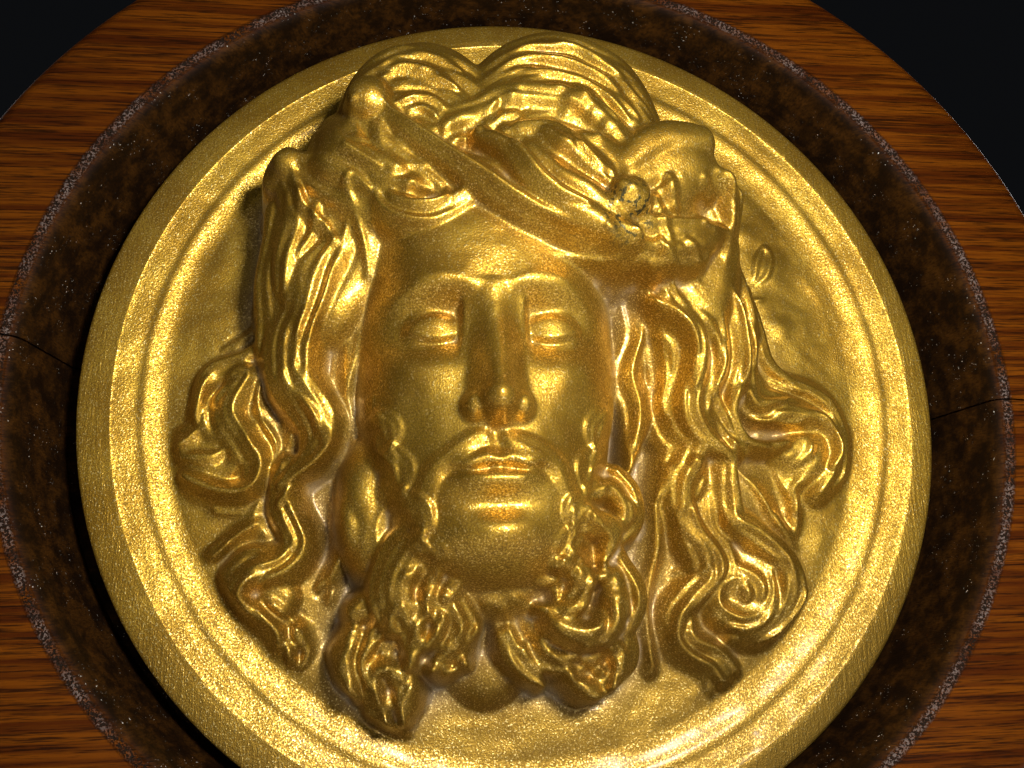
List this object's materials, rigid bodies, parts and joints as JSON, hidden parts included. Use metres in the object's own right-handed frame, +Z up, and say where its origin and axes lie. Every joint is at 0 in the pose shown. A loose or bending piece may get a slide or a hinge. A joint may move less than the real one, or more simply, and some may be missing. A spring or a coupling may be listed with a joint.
{
  "type": "framed bronze relief plaque",
  "caption": "Round cast plaque with a crowned, bearded head in high relief, set in the dished face of a turned round wooden frame, to hang on a wall.",
  "frame": {"origin": "centre of the flat back, where it meets the wall", "axes": "+Y into the wall, +Z up, +X to the viewer's right; the relief faces -Y"},
  "size_m": [0.2028, 0.0483, 0.1932],
  "materials": {
    "gilt_bronze": "cast bronze under fine-grained gilt bronze paint, pale dust in the hollows",
    "varnished_wood": "red-brown hardwood with dark pores, satin varnish, darker and rubbed in the recess"
  },
  "bodies": {
    "root": {"relief_plaque": "gilt_bronze", "frame_upper_board": "varnished_wood", "frame_lower_board": "varnished_wood"}
  },
  "joints": []
}
